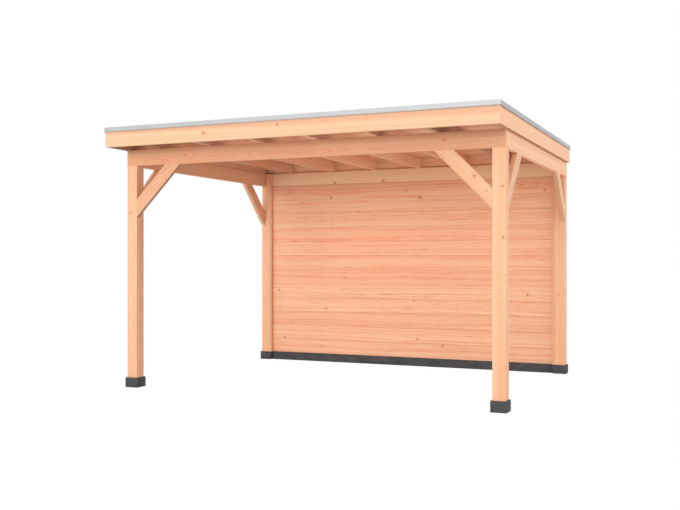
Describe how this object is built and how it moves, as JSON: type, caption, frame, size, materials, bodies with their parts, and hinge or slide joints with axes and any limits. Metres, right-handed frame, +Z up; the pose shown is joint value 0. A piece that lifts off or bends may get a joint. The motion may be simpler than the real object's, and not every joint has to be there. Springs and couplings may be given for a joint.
{
  "type": "wooden patio cover",
  "caption": "Flat-roofed timber patio cover on square posts, open at the front and sides, with a boarded back wall, corner braces, rafters, fascia boards and a metal roof trim.",
  "frame": {"origin": "on the ground, under the centre of the whole cover's outline with its roof trim", "axes": "+X to the right seen from the open front, along the roof's longer side; +Y from the open front to the boarded back wall; +Z up"},
  "size_m": [4.072, 3.407, 2.667],
  "materials": {
    "planed_timber": "planed softwood, untreated, warm salmon, satin",
    "roof_timber": "planed softwood, untreated, a little darker",
    "wall_boards": "planed softwood boards with fine grain and small knots",
    "footing": "dark grey, matt, slightly rough",
    "roof_trim": "light grey, satin",
    "membrane": "black roofing sheet, matt"
  },
  "bodies": {
    "root": {"post_front_left": "planed_timber", "post_front_right": "planed_timber", "post_back_left": "planed_timber", "post_back_right": "planed_timber", "foot_front_left": "footing", "foot_front_right": "footing", "foot_back_left": "footing", "foot_back_right": "footing", "wall_base": "footing", "beam_front": "planed_timber", "beam_left": "planed_timber", "beam_right": "planed_timber", "beam_back": "planed_timber", "brace_front_left": "planed_timber", "brace_front_right": "planed_timber", "brace_left_front": "planed_timber", "brace_left_back": "planed_timber", "brace_right_front": "planed_timber", "brace_right_back": "planed_timber", "rafter_1": "roof_timber", "rafter_2": "roof_timber", "rafter_3": "roof_timber", "rafter_4": "roof_timber", "rafter_5": "roof_timber", "rafter_6": "roof_timber", "rafter_7": "roof_timber", "rafter_8": "roof_timber", "roof_deck": "roof_timber", "roof_membrane": "membrane", "fascia_front": "planed_timber", "fascia_right": "planed_timber", "fascia_back": "planed_timber", "fascia_left": "planed_timber", "trim_front": "roof_trim", "trim_right": "roof_trim", "trim_back": "roof_trim", "trim_left": "roof_trim", "back_wall": "wall_boards", "batten_front_left": "planed_timber", "batten_front_right": "planed_timber", "batten_rear_left": "planed_timber", "batten_rear_right": "planed_timber", "wall_stud_left": "planed_timber", "wall_stud_right": "planed_timber"}
  },
  "joints": []
}
